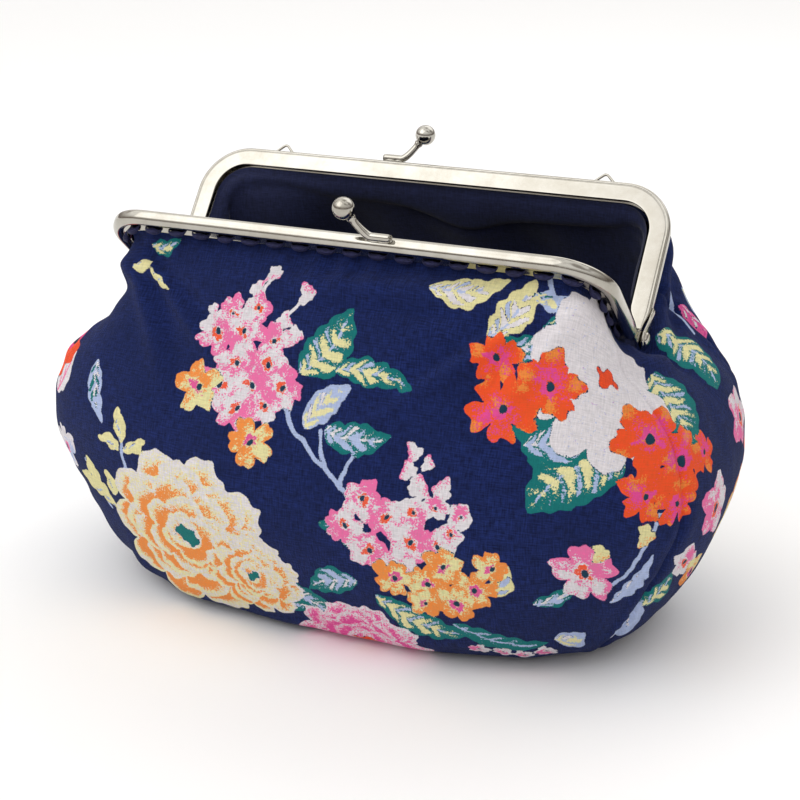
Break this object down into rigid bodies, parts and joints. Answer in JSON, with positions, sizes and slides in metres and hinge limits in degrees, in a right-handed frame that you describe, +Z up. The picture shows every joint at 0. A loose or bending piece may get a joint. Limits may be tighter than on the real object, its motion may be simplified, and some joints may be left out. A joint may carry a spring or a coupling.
{
  "type": "kiss-lock coin purse",
  "caption": "Soft gusseted fabric purse sewn into a hinged two-part metal frame with ball clasps and chain loops, standing open.",
  "frame": {"origin": "centre of the bounding box on the surface the purse stands on", "axes": "+X along the hinge axis to the right seen from the front, +Y to the back half of the frame, +Z up"},
  "size_m": [0.27, 0.149, 0.177],
  "materials": {
    "nickel": "polished nickel plate on folded steel sheet",
    "outer_fabric": "plain-weave cotton, navy with a printed floral pattern",
    "lining_fabric": "plain dark navy lining cloth",
    "thread": "thick soft navy sewing thread"
  },
  "bodies": {
    "bag": {"outer_front_panel": "outer_fabric", "outer_gusset": "outer_fabric", "outer_back_panel": "outer_fabric", "lining_cup": "lining_fabric", "hinge_rivet_left": "nickel", "hinge_rivet_right": "nickel"},
    "front_half": {"front_frame": "nickel", "front_clasp_stem": "nickel", "front_clasp_ball": "nickel", "front_stitching": "thread", "outer_front_upper": "outer_fabric", "lining_front_upper": "lining_fabric"},
    "back_half": {"back_frame": "nickel", "back_clasp_stem": "nickel", "back_clasp_ball": "nickel", "back_stitching": "thread", "outer_back_upper": "outer_fabric", "lining_back_upper": "lining_fabric", "loop_lug_left": "nickel", "loop_lug_right": "nickel"},
    "left_loop": {"chain_loop_left": "nickel"},
    "right_loop": {"chain_loop_right": "nickel"}
  },
  "joints": [
    {"name": "front_frame_swing", "type": "hinge", "parent": "bag", "child": "front_half", "pos_m": [0, 0, 0.115], "axis": [1, 0, 0], "range_deg": [-48.5, 15]},
    {"name": "back_frame_swing", "type": "hinge", "parent": "bag", "child": "back_half", "pos_m": [0, 0, 0.115], "axis": [1, 0, 0], "range_deg": [-12, 38.5]},
    {"name": "left_loop_swing", "type": "hinge", "parent": "back_half", "child": "left_loop", "pos_m": [-0.069, 0.04191, 0.15757], "axis": [1, 0, 0], "range_deg": [-100, 5]},
    {"name": "right_loop_swing", "type": "hinge", "parent": "back_half", "child": "right_loop", "pos_m": [0.069, 0.04191, 0.15757], "axis": [1, 0, 0], "range_deg": [-100, 5]}
  ],
  "couplings": [
    {"joint": "back_frame_swing", "follows": "front_frame_swing", "ratio": -0.7938}
  ]
}
